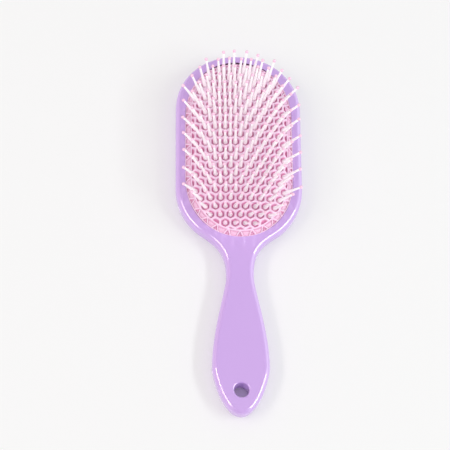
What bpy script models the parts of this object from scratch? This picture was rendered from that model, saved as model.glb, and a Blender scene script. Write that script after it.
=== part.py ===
"""Paddle hair brush: two moulded shells, an air-cushioned rubber pad and 180 ball-tipped pins.

The brush lies on its back. X runs across it, Y from the handle to the head and Z up
through the pins. Everything is modelled round the pad's centre and hangs on one empty
that puts the middle of the brush over the origin. Lengths are in metres.
"""

import math

import bmesh
import bpy
from mathutils import Vector

# Rubber pad
PAD_WIDTH = 0.0712
PAD_LENGTH = 0.1262
PAD_END_CURVE = 0.0410
PAD_CROWN = 0.0100
PAD_SIDE_RISE = 0.0006
PAD_END_SINK = 0.0005
PAD_EDGE_DROP = 0.0005
PAD_SKIN = 0.0016
PAD_DRAW_IN = 0.0006
FLANGE_MARGIN = 0.0012
FLANGE_THICKNESS = 0.0016
SEAT_RIB_WIDTH = 0.0020

# Frame outline: the band round the pad, then the neck, the handle and its end
SIDE_BAND = 0.0062
TOP_BAND = 0.0066
FOOT_BAND = 0.0049
SHOULDER_WIDTH = 0.0487
NECK_WIDTH = 0.0179
NECK_LENGTH = 0.0217
NECK_FLARE = 0.0126
NECK_DRAW = 0.0164
HANDLE_WIDTH = 0.0367
SWELL_LENGTH = 0.0617
END_LENGTH = 0.0311
WAIST_STRETCH = 0.0094
SWELL_STRETCH = 0.0252
END_STRETCH = 0.0056
TIP_STRETCH = 0.0118

# Frame section
FRONT_EDGE_RADIUS = 0.0030
FRONT_RIM = 0.0037
BACK_RIM = 0.0005
BACK_EDGE_RADIUS = 0.0045
WALL = 0.0020
LIP_THICKNESS = 0.0020
LIP_EDGE_RADIUS = 0.0006

# Hanging hole, from the handle's end
HOLE_RADIUS = 0.0047
HOLE_INSET = 0.0156
HOLE_COLLAR = 0.0016
HOLE_EDGE_RADIUS = 0.0006

# Pegs that line the shells up, and the pad's air hole
PEG_RADIUS = 0.0014
PEG_SOCKET_WALL = 0.0014
PEG_OVERLAP = 0.0030
VENT_RADIUS = 0.0010

# Pins
PIN_PITCH = 0.0065
PIN_LENGTH = 0.0180
PIN_FOOT_RADIUS = 0.0015
PIN_BODY_RADIUS = 0.0011
PIN_BODY_HEIGHT = 0.0060
PIN_NECK_RADIUS = 0.0007
BALL_RADIUS = 0.0011
PIN_EDGE_MARGIN = 0.0041
END_ROW_INSET = 0.0082
SLICE_DEPTH = 0.0008
SLICE_LIFT = 0.0006

# Clearances
FIT_GAP = 0.0003
SEAM_GAP = 0.0003
PEG_GAP = 0.0003
OVERRUN = 0.0020

# Places of the pegs, as shares of the way from the neck to the handle's widest place
PEG_SHARES = (0.33, 0.84)
# Shares of the dome's drop that follow the square of the way out, the rest a higher power
SIDE_SQUARE_SHARE = 0.46
END_SQUARE_SHARE = 0.45
SIDE_POWER = 6
END_POWER = 4
# How much further than the dome's own slope the pins splay
SPLAY_SHARE = 1.09
# How much wider apart than evenly spread rows the middle rows are
ROW_SPREAD_SHARE = 0.025
# Powers under 1 fill out the corners of a rounded end
HEAD_FULLNESS = 0.965
PAD_FULLNESS = 0.96

# Steps along each stretch of the outlines
HEAD_STEPS = 13
SIDE_STEPS = 4
SHOULDER_STEPS = 7
NECK_STEPS = 8
HANDLE_STEPS = 8
END_STEPS = 9
PAD_END_STEPS = 10
PAD_SIDE_STEPS = 3
EDGE_STEPS = 4
ROUND_STEPS = 24
# Rings of the pad's dome, from its edge in to its crown
DOME_SHARES = (0.96, 0.90, 0.81, 0.68, 0.50, 0.28)
HOLLOW_SHARES = (0.92, 0.76, 0.50)
# Sections of a pin's ball, as shares of its radius along and out from its middle
BALL_NECK_SHARE = 0.80
SQUARE_SHARE = 0.92

LAVENDER = (0.62, 0.42, 0.80, 1.0)
PINK = (0.90, 0.58, 0.74, 1.0)
WHITE = (0.94, 0.90, 0.93, 1.0)
PLASTIC_ROUGHNESS = 0.18
RUBBER_ROUGHNESS = 0.45
NYLON_ROUGHNESS = 0.30
# Edges that turn by more than this are shaded sharp
SHARP_ANGLE = math.radians(35)

HEAD_WIDTH = PAD_WIDTH + 2 * SIDE_BAND
HEAD_TOP = PAD_LENGTH / 2 + TOP_BAND
HEAD_FOOT = PAD_LENGTH / 2 + FOOT_BAND
NECK_REACH = HEAD_FOOT + NECK_LENGTH
HANDLE_REACH = NECK_REACH + SWELL_LENGTH
HANDLE_END = HANDLE_REACH + END_LENGTH
HOLE_REACH = HANDLE_END - HOLE_INSET
LAYOUT_Y = (HANDLE_END - HEAD_TOP) / 2
PARTING_HEIGHT = BACK_EDGE_RADIUS + BACK_RIM
FRONT_HEIGHT = PARTING_HEIGHT + SEAM_GAP
FRAME_THICKNESS = FRONT_HEIGHT + FRONT_RIM + FRONT_EDGE_RADIUS
LIP_UNDERSIDE = FRAME_THICKNESS - LIP_THICKNESS
FLANGE_TOP = LIP_UNDERSIDE - FIT_GAP
FLANGE_BOTTOM = FLANGE_TOP - FLANGE_THICKNESS
SEAT_TOP = FLANGE_BOTTOM - FIT_GAP
FLANGE_WIDTH = SIDE_BAND - WALL - FLANGE_MARGIN
CROWN_HEIGHT = FRAME_THICKNESS + PAD_CROWN
PAD_SIDE_DROP = PAD_CROWN - PAD_SIDE_RISE
PAD_END_DROP = PAD_CROWN + PAD_END_SINK
DOME_SINK = SLICE_DEPTH - SLICE_LIFT + FIT_GAP
ROW_PITCH = PIN_PITCH * math.sqrt(3) / 2
END_ROW_REACH = PAD_LENGTH / 2 - END_ROW_INSET
HALF_ROWS = round(END_ROW_REACH / ROW_PITCH)


# Scene and materials


def clear_scene():
    for obj in list(bpy.data.objects):
        bpy.data.objects.remove(obj)


def make_material(name, colour, roughness):
    material = bpy.data.materials.new(name)
    material.use_nodes = True
    shader = material.node_tree.nodes["Principled BSDF"]
    shader.inputs["Base Color"].default_value = colour
    shader.inputs["Roughness"].default_value = roughness
    shader.inputs["Metallic"].default_value = 0.0
    return material


def make_empty(name, location, parent=None):
    empty = bpy.data.objects.new(name, None)
    empty.location = location
    empty.parent = parent
    bpy.context.collection.objects.link(empty)
    return empty


def make_object(name, bm, parent, material=None):
    """An object of the mesh built in bm, with its faces turned outwards."""
    bmesh.ops.recalc_face_normals(bm, faces=bm.faces)
    mesh = bpy.data.meshes.new(name)
    bm.to_mesh(mesh)
    bm.free()
    obj = bpy.data.objects.new(name, mesh)
    obj.parent = parent
    bpy.context.collection.objects.link(obj)
    if material:
        mesh.materials.append(material)
        mesh.shade_smooth()
        mesh.set_sharp_from_angle(angle=SHARP_ANGLE)
    return obj


def boolean(obj, operation, tool):
    modifier = obj.modifiers.new(f"{operation.title()} {tool.name}", "BOOLEAN")
    modifier.operation = operation
    modifier.object = tool
    tool.hide_render = True
    tool.display_type = "WIRE"


# Outlines, as closed lists of (x, y) that run anticlockwise


def bezier(start, first, second, end, steps):
    """Points of a cubic curve after its start, up to and with its end."""
    points = []
    for step in range(1, steps + 1):
        t = step / steps
        s = 1 - t
        weights = (s**3, 3 * s * s * t, 3 * s * t * t, t**3)
        corners = (start, first, second, end)
        x = sum(w * p[0] for w, p in zip(weights, corners))
        y = sum(w * p[1] for w, p in zip(weights, corners))
        points.append((x, y))
    return points


def end_point(half_width, straight, curve, fullness, angle):
    """A point on a rounded end: x goes as the sine and y as the cosine, each to a power."""
    x = half_width * math.sin(angle) ** fullness
    y = straight + curve * math.cos(angle) ** fullness
    return x, y


def mirrored(half):
    """The whole outline of a right half that runs from the top of the axis to its bottom."""
    left = [(-x, y) for x, y in half[1:-1]]
    return left + half[::-1]


def brush_outline():
    half_width = HEAD_WIDTH / 2
    top_straight = HEAD_TOP - PAD_END_CURVE
    foot_straight = HEAD_FOOT - PAD_END_CURVE
    half = [(0, HEAD_TOP)]
    for step in range(1, HEAD_STEPS + 1):
        angle = math.pi / 2 * step / HEAD_STEPS
        if step == HEAD_STEPS:
            half.append((half_width, top_straight))
        else:
            half.append(end_point(half_width, top_straight, PAD_END_CURVE, HEAD_FULLNESS, angle))
    for step in range(1, SIDE_STEPS + 1):
        share = step / SIDE_STEPS
        half.append((half_width, top_straight - share * (top_straight + foot_straight)))
    last_angle = math.asin((SHOULDER_WIDTH / HEAD_WIDTH) ** (1 / HEAD_FULLNESS))
    for step in range(1, SHOULDER_STEPS + 1):
        angle = math.pi / 2 + (last_angle - math.pi / 2) * step / SHOULDER_STEPS
        x, y = end_point(half_width, foot_straight, PAD_END_CURVE, HEAD_FULLNESS, angle)
        half.append((x, -y))
    shoulder = half[-1]
    across = half_width * math.cos(last_angle) * math.sin(last_angle) ** (HEAD_FULLNESS - 1)
    along = PAD_END_CURVE * math.sin(last_angle) * math.cos(last_angle) ** (HEAD_FULLNESS - 1)
    slope = Vector((-across, -along)).normalized()
    leave = (shoulder[0] + slope.x * NECK_FLARE, shoulder[1] + slope.y * NECK_FLARE)
    neck = (NECK_WIDTH / 2, -NECK_REACH)
    half += bezier(shoulder, leave, (neck[0], neck[1] + NECK_DRAW), neck, NECK_STEPS)
    swell = (HANDLE_WIDTH / 2, -HANDLE_REACH)
    above = (swell[0], swell[1] + SWELL_STRETCH)
    half += bezier(neck, (neck[0], neck[1] - WAIST_STRETCH), above, swell, HANDLE_STEPS)
    below = (swell[0], swell[1] - END_STRETCH)
    half += bezier(swell, below, (TIP_STRETCH, -HANDLE_END), (0, -HANDLE_END), END_STEPS)
    return mirrored(half)


def pad_outline():
    half_width = PAD_WIDTH / 2
    straight = PAD_LENGTH / 2 - PAD_END_CURVE
    quarter = [(0, PAD_LENGTH / 2)]
    for step in range(1, PAD_END_STEPS):
        angle = math.pi / 2 * step / PAD_END_STEPS
        quarter.append(end_point(half_width, straight, PAD_END_CURVE, PAD_FULLNESS, angle))
    quarter.append((half_width, straight))
    sides = []
    for step in range(1, PAD_SIDE_STEPS):
        sides.append((half_width, straight - 2 * straight * step / PAD_SIDE_STEPS))
    lower = [(x, -y) for x, y in quarter[::-1]]
    return mirrored(quarter + sides + lower)


def offset(outline, distance):
    """The outline moved outwards by distance, each point along the normal there."""
    count = len(outline)
    moved = []
    for index, (x, y) in enumerate(outline):
        before = outline[index - 1]
        after = outline[(index + 1) % count]
        normal = Vector((after[1] - before[1], before[0] - after[0])).normalized()
        moved.append((x + distance * normal.x, y + distance * normal.y))
    return moved


def circle(radius, x, y):
    points = []
    for step in range(ROUND_STEPS):
        angle = 2 * math.pi * step / ROUND_STEPS
        points.append((x + radius * math.cos(angle), y + radius * math.sin(angle)))
    return points


# Solids lofted through rings


def ring_of(points, height):
    """The points at one height, or each at its own where height is a function of x and y."""
    if callable(height):
        return [(x, y, height(x, y)) for x, y in points]
    return [(x, y, height) for x, y in points]


def loft(rings, first_tip=None, last_tip=None):
    """A closed skin over rings of equal count, each end a flat face or a fan to a tip."""
    bm = bmesh.new()
    loops = [[bm.verts.new(point) for point in ring] for ring in rings]
    count = len(loops[0])
    for lower, upper in zip(loops, loops[1:]):
        for index in range(count):
            after = (index + 1) % count
            bm.faces.new((lower[index], lower[after], upper[after], upper[index]))
    for loop, tip in ((loops[0][::-1], first_tip), (loops[-1], last_tip)):
        if tip is None:
            bm.faces.new(loop)
            continue
        centre = bm.verts.new(tip)
        for index in range(count):
            bm.faces.new((loop[index], loop[(index + 1) % count], centre))
    return bm


def rounded_edge(outline, inset, radius, base, way):
    """Rings round a quarter circle from the outer wall in to a face, up or down by way."""
    rings = []
    for step in range(EDGE_STEPS + 1):
        angle = math.pi / 2 * step / EDGE_STEPS
        inwards = inset + radius * (1 - math.cos(angle))
        height = base + way * radius * math.sin(angle)
        rings.append(ring_of(offset(outline, -inwards), height))
    return rings


def prism(points, low, high):
    return loft([ring_of(points, low), ring_of(points, high)])


def pad_height(x, y):
    """Height of the pad's face: a drop to the sides and one to the ends, from the crown."""
    out = abs(x) / (PAD_WIDTH / 2)
    along = abs(y) / (PAD_LENGTH / 2)
    side = SIDE_SQUARE_SHARE * out**2 + (1 - SIDE_SQUARE_SHARE) * out**SIDE_POWER
    end = END_SQUARE_SHARE * along**2 + (1 - END_SQUARE_SHARE) * along**END_POWER
    return CROWN_HEIGHT - PAD_SIDE_DROP * side - PAD_END_DROP * end


def pin_direction(x, y):
    """Unit vector of a pin: the dome's normal with its slopes made a little steeper."""
    step = PIN_FOOT_RADIUS
    across = (pad_height(x - step, y) - pad_height(x + step, y)) / (2 * step)
    along = (pad_height(x, y - step) - pad_height(x, y + step)) / (2 * step)
    return Vector((SPLAY_SHARE * across, SPLAY_SHARE * along, 1)).normalized()


# Frame


def peg_places():
    return [(0, -NECK_REACH - share * SWELL_LENGTH) for share in PEG_SHARES]


def hole_cutter(parent):
    """A through cutter for the hanging hole, flared at both faces."""
    flare = HOLE_RADIUS + HOLE_EDGE_RADIUS
    stations = (
        (flare + OVERRUN, -OVERRUN),
        (flare, 0),
        (HOLE_RADIUS, HOLE_EDGE_RADIUS),
        (HOLE_RADIUS, FRAME_THICKNESS - HOLE_EDGE_RADIUS),
        (flare, FRAME_THICKNESS),
        (flare + OVERRUN, FRAME_THICKNESS + OVERRUN),
    )
    rings = [ring_of(circle(radius, 0, -HOLE_REACH), height) for radius, height in stations]
    return make_object("hanging_hole_cutter", loft(rings), parent)


def opening_cutter(parent):
    """The pad's opening in the front shell, with a small round on its front edge."""
    outline = offset(pad_outline(), FIT_GAP)
    top = FRAME_THICKNESS - LIP_EDGE_RADIUS
    rings = [ring_of(outline, LIP_UNDERSIDE - OVERRUN), ring_of(outline, top)]
    rings.append(ring_of(offset(outline, LIP_EDGE_RADIUS), FRAME_THICKNESS))
    rings.append(ring_of(offset(outline, LIP_EDGE_RADIUS + OVERRUN), FRAME_THICKNESS + OVERRUN))
    return make_object("pad_opening_cutter", loft(rings), parent)


def make_front_shell(parent, material):
    outline = brush_outline()
    shoulder = FRAME_THICKNESS - FRONT_EDGE_RADIUS
    rings = [ring_of(outline, FRONT_HEIGHT)]
    rings += rounded_edge(outline, 0, FRONT_EDGE_RADIUS, shoulder, 1)
    shell = make_object("front_shell", loft(rings), parent, material)

    inner_radius = max(FRONT_EDGE_RADIUS - WALL, LIP_EDGE_RADIUS)
    inner = [ring_of(offset(outline, -WALL), FRONT_HEIGHT - OVERRUN)]
    inner += rounded_edge(outline, WALL, inner_radius, LIP_UNDERSIDE - inner_radius, 1)
    boolean(shell, "DIFFERENCE", make_object("front_hollow_cutter", loft(inner), parent))

    ceiling = LIP_UNDERSIDE + WALL / 2
    collar = circle(HOLE_RADIUS + HOLE_COLLAR, 0, -HOLE_REACH)
    boolean(shell, "UNION", make_object("front_collar", prism(collar, FRONT_HEIGHT, ceiling), parent))
    socket_radius = PEG_RADIUS + PEG_GAP + PEG_SOCKET_WALL
    for number, place in enumerate(peg_places(), 1):
        socket = circle(socket_radius, *place)
        bm = prism(socket, FRONT_HEIGHT + SEAM_GAP, ceiling)
        boolean(shell, "UNION", make_object(f"peg_socket_{number}", bm, parent))
        bore = circle(PEG_RADIUS + PEG_GAP, *place)
        bm = prism(bore, FRONT_HEIGHT - OVERRUN, LIP_UNDERSIDE)
        boolean(shell, "DIFFERENCE", make_object(f"peg_bore_{number}", bm, parent))
    boolean(shell, "DIFFERENCE", opening_cutter(parent))
    boolean(shell, "DIFFERENCE", hole_cutter(parent))
    return shell


def make_back_shell(parent, material, hole):
    outline = brush_outline()
    edge = rounded_edge(outline, 0, BACK_EDGE_RADIUS, BACK_EDGE_RADIUS, -1)
    rings = edge[::-1] + [ring_of(outline, PARTING_HEIGHT)]
    shell = make_object("back_shell", loft(rings), parent, material)

    inner_radius = max(BACK_EDGE_RADIUS - WALL, LIP_EDGE_RADIUS)
    inner_edge = rounded_edge(outline, WALL, inner_radius, WALL + inner_radius, -1)
    inner = inner_edge[::-1] + [ring_of(offset(outline, -WALL), PARTING_HEIGHT + OVERRUN)]
    boolean(shell, "DIFFERENCE", make_object("back_hollow_cutter", loft(inner), parent))

    floor = WALL / 2
    collar = circle(HOLE_RADIUS + HOLE_COLLAR, 0, -HOLE_REACH)
    boolean(shell, "UNION", make_object("back_collar", prism(collar, floor, PARTING_HEIGHT), parent))
    for number, place in enumerate(peg_places(), 1):
        peg = prism(circle(PEG_RADIUS, *place), floor, PARTING_HEIGHT + PEG_OVERLAP)
        boolean(shell, "UNION", make_object(f"peg_{number}", peg, parent))

    outline = pad_outline()
    middle = (FLANGE_WIDTH - PAD_DRAW_IN) / 2
    outer = prism(offset(outline, middle + SEAT_RIB_WIDTH / 2), floor, SEAT_TOP)
    boolean(shell, "UNION", make_object("seat_rib", outer, parent))
    inside = prism(offset(outline, middle - SEAT_RIB_WIDTH / 2), WALL, SEAT_TOP + OVERRUN)
    boolean(shell, "DIFFERENCE", make_object("air_space_cutter", inside, parent))
    vent = prism(circle(VENT_RADIUS, 0, 0), -OVERRUN, WALL + OVERRUN)
    boolean(shell, "DIFFERENCE", make_object("vent_cutter", vent, parent))
    boolean(shell, "DIFFERENCE", hole)
    return shell


# Rubber pad


def scaled(outline, share):
    return [(x * share, y * share) for x, y in outline]


def make_pad(parent, material):
    """A domed skin that is open below, with a flange round its foot."""
    outline = pad_outline()
    inner = offset(outline, -PAD_SKIN)
    neck = offset(outline, -PAD_DRAW_IN)
    flange = offset(outline, FLANGE_WIDTH)

    def face(x, y):
        return pad_height(x, y) - DOME_SINK

    def underside(x, y):
        return face(x, y) - PAD_SKIN

    rings = [ring_of(scaled(inner, share), underside) for share in HOLLOW_SHARES[::-1]]
    rings.append(ring_of(offset(inner, -PAD_DRAW_IN), underside))
    rings.append(ring_of(offset(neck, -PAD_SKIN), FLANGE_BOTTOM))
    rings.append(ring_of(flange, FLANGE_BOTTOM))
    rings.append(ring_of(flange, FLANGE_TOP))
    rings.append(ring_of(neck, FLANGE_TOP))
    rings.append(ring_of(outline, lambda x, y: face(x, y) - PAD_EDGE_DROP))
    rings += [ring_of(scaled(outline, share), face) for share in DOME_SHARES]
    bm = loft(rings, first_tip=(0, 0, underside(0, 0)), last_tip=(0, 0, face(0, 0)))
    return make_object("rubber_pad", bm, parent, material)


# Pins


def row_name(row):
    """Rows are numbered from each end of the pad in to the middle one, which is row 0."""
    if row == 0:
        return "pin_row_middle"
    end = "head" if row > 0 else "handle"
    return f"pin_row_{end}_{HALF_ROWS - abs(row) + 1:02d}"


def row_y(row):
    """Rows draw a little closer together towards the ends, where the dome slopes away."""
    share = row / HALF_ROWS
    return END_ROW_REACH * share * (1 + ROW_SPREAD_SHARE * (1 - share**2))


def row_places(row):
    """The pins' x in one row: rows are half a pitch out from their neighbours."""
    half_width = PAD_WIDTH / 2 - PIN_EDGE_MARGIN
    straight = PAD_LENGTH / 2 - PAD_END_CURVE
    along = max(abs(row_y(row)) - straight, 0) / (PAD_END_CURVE - PIN_EDGE_MARGIN)
    limit = half_width * math.sqrt(max(1 - along**2, 0))
    first = 0 if (HALF_ROWS - row) % 2 else PIN_PITCH / 2
    reach = int((limit - first) // PIN_PITCH)
    places = [first + PIN_PITCH * step for step in range(reach + 1)]
    left = [-x for x in places if x > 0]
    return sorted(left + places)


def add_slice(bm, y, places):
    """A three-sided strip of the pad's face under the row. Returns the square under each pin."""
    half = SQUARE_SHARE * PIN_FOOT_RADIUS

    def section(x):
        near = bm.verts.new((x, y - half, pad_height(x, y - half) + SLICE_LIFT))
        far = bm.verts.new((x, y + half, pad_height(x, y + half) + SLICE_LIFT))
        keel = bm.verts.new((x, y, pad_height(x, y) + SLICE_LIFT - SLICE_DEPTH))
        return near, far, keel

    sections = []
    for x in places:
        sections += [section(x - half), section(x + half)]
    squares = []
    for index, (left, right) in enumerate(zip(sections, sections[1:])):
        top = bm.faces.new((left[0], right[0], right[1], left[1]))
        bm.faces.new((left[2], right[2], right[0], left[0]))
        bm.faces.new((left[1], right[1], right[2], left[2]))
        if index % 2 == 0:
            squares.append(top)
    bm.faces.new(sections[0])
    bm.faces.new(sections[-1][::-1])
    return squares


def add_pin(bm, square, x, y):
    """A shaft that thins from its foot to its neck and a ball tip, drawn up from the square."""
    axis = pin_direction(x, y)
    foot = Vector((x, y, pad_height(x, y)))
    across = Vector((1, 0, 0))
    across = (across - axis * across.dot(axis)).normalized()
    along = axis.cross(across)
    stations = (
        (PIN_BODY_HEIGHT, PIN_BODY_RADIUS),
        (PIN_LENGTH - BALL_NECK_SHARE * BALL_RADIUS, PIN_NECK_RADIUS),
        (PIN_LENGTH, BALL_RADIUS),
    )
    lower = list(square.verts)
    bm.faces.remove(square)
    for height, radius in stations:
        half = SQUARE_SHARE * radius
        centre = foot + axis * height
        corners = ((-half, -half), (half, -half), (half, half), (-half, half))
        upper = [bm.verts.new(centre + across * u + along * v) for u, v in corners]
        for index in range(4):
            after = (index + 1) % 4
            bm.faces.new((lower[index], lower[after], upper[after], upper[index]))
        lower = upper
    tip = bm.verts.new(foot + axis * (PIN_LENGTH + BALL_RADIUS))
    for index in range(4):
        bm.faces.new((lower[index], lower[(index + 1) % 4], tip))


def make_pin_row(name, y, places, parent, material):
    bm = bmesh.new()
    squares = add_slice(bm, y, places)
    for square, x in zip(squares, places):
        add_pin(bm, square, x, y)
    return make_object(name, bm, parent, material)


def make_pins(parent, material):
    for row in range(-HALF_ROWS, HALF_ROWS + 1):
        places = row_places(row)
        if places:
            make_pin_row(row_name(row), row_y(row), places, parent, material)


def main():
    clear_scene()
    plastic = make_material("lavender_plastic", LAVENDER, PLASTIC_ROUGHNESS)
    rubber = make_material("pink_rubber", PINK, RUBBER_ROUGHNESS)
    nylon = make_material("white_nylon", WHITE, NYLON_ROUGHNESS)
    pad_centre = make_empty("pad_centre", (0, LAYOUT_Y, 0))
    make_front_shell(pad_centre, plastic)
    make_back_shell(pad_centre, plastic, bpy.data.objects["hanging_hole_cutter"])
    make_pad(pad_centre, rubber)
    pin_bed = make_empty("pin_bed", (0, 0, 0), pad_centre)
    make_pins(pin_bed, nylon)


main()
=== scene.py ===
"""The looks of a paddle hair brush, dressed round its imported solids.

The frame's two shells, the honeycomb pad, the pins and their ball tips are surfaces worked
out with numpy. Lengths are in metres, in the solids' own frame: X runs across the brush, Y
along it towards the head and Z up through the pins.
"""

import math

import bpy
import numpy as np
from mathutils import Matrix, Vector
from mathutils.geometry import delaunay_2d_cdt, tessellate_polygon


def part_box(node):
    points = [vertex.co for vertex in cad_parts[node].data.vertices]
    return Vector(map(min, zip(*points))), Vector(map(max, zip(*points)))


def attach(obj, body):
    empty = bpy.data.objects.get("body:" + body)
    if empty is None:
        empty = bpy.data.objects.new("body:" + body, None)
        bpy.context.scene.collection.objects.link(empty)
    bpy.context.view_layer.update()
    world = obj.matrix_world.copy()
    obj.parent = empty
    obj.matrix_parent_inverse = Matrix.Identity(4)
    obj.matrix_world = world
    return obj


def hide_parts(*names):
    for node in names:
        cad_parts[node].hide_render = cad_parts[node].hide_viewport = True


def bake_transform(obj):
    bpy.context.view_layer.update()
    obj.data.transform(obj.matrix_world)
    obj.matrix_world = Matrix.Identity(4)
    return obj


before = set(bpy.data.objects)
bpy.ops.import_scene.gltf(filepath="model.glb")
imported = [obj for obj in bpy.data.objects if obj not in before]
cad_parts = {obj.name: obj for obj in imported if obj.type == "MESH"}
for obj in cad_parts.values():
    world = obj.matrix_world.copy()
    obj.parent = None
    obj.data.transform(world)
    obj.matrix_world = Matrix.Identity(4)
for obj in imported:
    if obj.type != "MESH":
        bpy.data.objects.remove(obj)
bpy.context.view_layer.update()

# Camera, fitted to the pins' feet and tips in the photo
PHOTO_SIDE = 450
FOCAL_PIXELS = 1773.14
SENSOR_WIDTH = 36.0
CAMERA_PLACE = (-0.09245, -0.44471, 1.07221)
CAMERA_TILT = math.radians(23.153)
CAMERA_TURN = math.radians(10.516)
CAMERA_ROLL = math.radians(10.930)

# Rubber pad
PAD_FLANGE = 0.0030
PAD_END_CURVE = 0.0410
PAD_CROWN = 0.0100
PAD_SIDE_DROP = 0.0094
PAD_END_DROP = 0.0105
SIDE_SQUARE_SHARE = 0.46
SIDE_POWER = 6
END_SQUARE_SHARE = 0.45
END_POWER = 4
PAD_FULLNESS = 0.96
PAD_DRAW_IN = 0.0006
PAD_EDGE_ROUND = 0.00015
FLANGE_BOTTOM = 0.0081
FLANGE_TOP = 0.0097

# Ribs of the pad: the honeycomb, the ridge round it, the rim and the struts between the two
RIB_RISE = 0.0010
CELL_DEPTH = 0.0020
BAND_DEPTH = 0.0016
NOOK_DEPTH = 0.0022
RIB_SLOPE = 0.00036
HONEYCOMB_HALF_WIDTH = 0.00055
RIDGE_INSET = 0.00375
RIDGE_HALF_WIDTH = 0.00024
RIM_WIDTH = 0.00045
STRUT_HALF_WIDTH = 0.00030
STRUT_SPREAD = 0.0023
STRUT_SLOPE = 0.00024
PILLOW_SHARE = 0.60
PILLOW_WIDTH = 0.0008
STRUT_PAIRS = 40
EDGE_SINK = 0.0015
EDGE_SINK_WIDTH = 0.0060
HEXAGON_POWER = 14
FLAT_ANGLES = np.radians((0, 60, 120))
# A depth mark of 2 gets the darkest painted shade: under the frame and in the slot at the head's
# end
UNDER_FRAME_SHADE = 2

# The slot at the head's end, where the lip draws back and the pad's rim stays short of it
SLOT_REACH = 0.0460
SLOT_LENGTH = 0.0110
LIP_DRAW_BACK = 0.0010
SLOT_WIDTH = 0.0009

# Pins
PIN_PITCH = 0.0065
PIN_LENGTH = 0.0180
PIN_FOOT_RADIUS = 0.0015
PIN_NECK_RADIUS = 0.0007
PIN_TAPER_POWER = 1.8
PIN_ROOT_DEPTH = 0.0019
PIN_BOSS_RADIUS = 0.00162
BALL_RADIUS = 0.0011
PIN_EDGE_MARGIN = 0.0041
END_ROW_INSET = 0.0082
HALF_ROWS = 10
ROW_SPREAD_SHARE = 0.025
SPLAY_SHARE = 1.09
SHAFT_SHARES = np.array((0, 0.04, 0.12, 0.25, 0.4, 0.6, 0.8, 1))
BALL_LATITUDES = np.radians((-55, -30, -5, 20, 45, 68, 85))
SCATTER_SEED = 12
SCATTER_LIMIT = 2
TIP_SCATTER = 0.00036
HEAD_ROW_SCATTER = ((-0.0002, -0.0007), (-0.0004, 0.0006), (0.0007, 0.0002), (0.0006, -0.0027))

# Frame outline
FOOT_BAND = 0.0049
SHOULDER_WIDTH = 0.0487
NECK_WIDTH = 0.0179
NECK_LENGTH = 0.0217
NECK_FLARE = 0.0126
NECK_DRAW = 0.0164
HANDLE_WIDTH = 0.0367
SWELL_LENGTH = 0.0617
WAIST_STRETCH = 0.0094
SWELL_STRETCH = 0.0252
END_STRETCH = 0.0056
TIP_STRETCH = 0.0118
HEAD_FULLNESS = 0.965

# Frame section
FRONT_EDGE_RADIUS = 0.0036
BACK_EDGE_RADIUS = 0.0045
PARTING_HEIGHT = 0.0050
SEAM_GAP = 0.00006
SEAM_ROUND = 0.00012
WALL = 0.0020
LIP_THICKNESS = 0.0020
LIP_EDGE_RADIUS = 0.0003
FIT_GAP = 0.00005
LIP_FACE = 0.0006
LIP_UNDERCUT = 0.0016
SEAT_TOP = 0.0078
SEAT_RIB_WIDTH = 0.0020
FLAT_MARGIN = 0.0003
HOLE_RADIUS = 0.0047
HOLE_INSET = 0.0156
HOLE_COLLAR = 0.0016
HOLE_EDGE_RADIUS = 0.0013
VENT_RADIUS = 0.0010

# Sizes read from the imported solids
FRONT_LOW, FRONT_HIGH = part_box("front_shell")
PAD_LOW, PAD_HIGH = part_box("rubber_pad")
PAD_CENTRE_Y = (PAD_LOW.y + PAD_HIGH.y) / 2
PAD_WIDTH = PAD_HIGH.x - PAD_LOW.x - 2 * PAD_FLANGE
PAD_LENGTH = PAD_HIGH.y - PAD_LOW.y - 2 * PAD_FLANGE
FRONT_FACE = FRONT_HIGH.z
CROWN_HEIGHT = FRONT_FACE + PAD_CROWN
LIP_UNDERSIDE = FRONT_FACE - LIP_THICKNESS
FRONT_FOOT = PARTING_HEIGHT + SEAM_GAP
HEAD_WIDTH = FRONT_HIGH.x - FRONT_LOW.x
HEAD_TOP = FRONT_HIGH.y - PAD_CENTRE_Y
HEAD_FOOT = PAD_LENGTH / 2 + FOOT_BAND
NECK_REACH = HEAD_FOOT + NECK_LENGTH
HANDLE_REACH = NECK_REACH + SWELL_LENGTH
HANDLE_END = PAD_CENTRE_Y - FRONT_LOW.y
HOLE_REACH = HANDLE_END - HOLE_INSET
ROW_PITCH = PIN_PITCH * math.sqrt(3) / 2
END_ROW_REACH = PAD_LENGTH / 2 - END_ROW_INSET

# Steps of the surfaces
OUTLINE_STEPS = 720
OPENING_STEPS = 640
HOLE_STEPS = 72
EDGE_STEPS = 12
CURVE_STEPS = 90
CELL_STEPS = 24
BAND_STEPS = 7
STRUT_STEPS = 11
PIN_SIDES = 8
BALL_SIDES = 10
ROW_SAMPLES = 500
SHARP_ANGLE = math.radians(40)

# Where the pad's face has its points: across a rib's slope, on a cell's floor, and clear of ribs
SLOPE_SHARES = np.array((0, 0.33, 0.67, 1))
CELL_FLOOR_SIZES = (0.45, 0.2)
LINE_CLEARANCE = 1.1 * RIB_SLOPE
STRUT_CLEARANCE = STRUT_HALF_WIDTH + 1.2 * STRUT_SLOPE
CELL_CLEARANCE = 1.3 * RIB_SLOPE
OUTER_ROWS = HALF_ROWS + 2
OUTER_PINS = 7
POINT_SPACING = 0.0000137
POINTS_AT_ONCE = 4000
TO_MILLIMETRES = 1000
MERGE_MILLIMETRES = 0.01

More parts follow.
